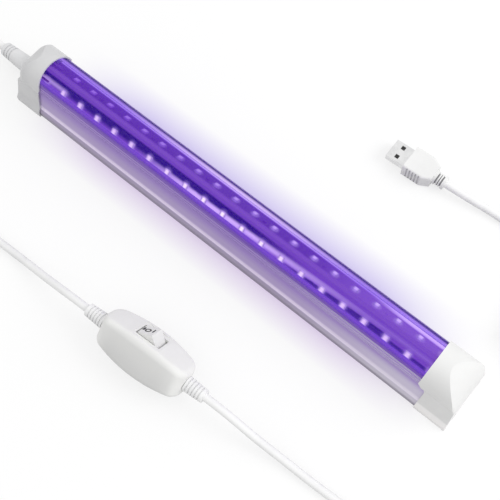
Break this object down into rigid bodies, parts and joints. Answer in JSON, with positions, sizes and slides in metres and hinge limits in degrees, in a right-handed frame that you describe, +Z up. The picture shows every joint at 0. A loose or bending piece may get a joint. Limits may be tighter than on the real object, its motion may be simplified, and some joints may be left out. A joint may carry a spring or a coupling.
{
  "type": "led black light tube",
  "caption": "Short ultraviolet tube lamp: violet arched cover on an aluminium channel, sloped end caps, and a lead with an in-line rocker switch and a flat plug.",
  "frame": {"origin": "centre of the lamp's base, where its flat underside rests; the lead and what is on it don't count", "axes": "+X along the tube, away from the end where the lead leaves; +Y to the side away from the switch; +Z up through the cover"},
  "size_m": [0.4487, 0.1991, 0.038],
  "materials": {
    "aluminium": "extruded, satin",
    "violet_cover": "clear violet, smooth",
    "board_white": "coated circuit board",
    "led_package": "moulded LED package",
    "resistor_black": "ceramic chip",
    "cap_white": "moulded, satin",
    "screw_steel": "plated",
    "boot_white": "moulded flexible",
    "cord_white": "smooth jacket",
    "wire_red": "insulated core",
    "wire_black": "insulated core",
    "switch_white": "moulded, satin",
    "rocker_white": "moulded, satin",
    "contact_brass": "stamped",
    "tie_white": "strap",
    "plug_white": "moulded",
    "plug_steel": "folded, plated",
    "tongue_white": "moulded"
  },
  "bodies": {
    "lamp": {"aluminium_channel": "aluminium", "clear_cover": "violet_cover", "led_board_front": "board_white", "led_board_rear": "board_white", "led_chips_front": "led_package", "led_chips_rear": "led_package", "led_resistors": "resistor_black", "end_cap_plain": "cap_white", "end_cap_cord": "cap_white", "end_cap_screws": "screw_steel", "cord_boot": "boot_white", "lead_wire_red": "wire_red", "lead_wire_black": "wire_black", "jumper_wires": "wire_black", "lamp_cord": "cord_white", "switch_upper_shell": "switch_white", "switch_lower_shell": "switch_white", "switch_boot_lamp": "boot_white", "switch_boot_supply": "boot_white", "switch_screws": "screw_steel", "switch_contact_leaf": "contact_brass", "switch_contact_fixed": "contact_brass", "supply_cord_near": "cord_white", "supply_coil": "cord_white", "supply_cord_far": "cord_white", "coil_tie": "tie_white", "plug_body": "plug_white", "plug_shell": "plug_steel", "plug_tongue": "tongue_white", "plug_contacts": "contact_brass"},
    "rocker": {"switch_rocker": "rocker_white"}
  },
  "joints": [
    {"name": "rocker_tilt", "type": "hinge", "parent": "lamp", "child": "rocker", "pos_m": [0.01435, -0.07882, 0.0204], "axis": [0.0395, -0.706, 0.7071], "range_deg": [0, 24]}
  ]
}
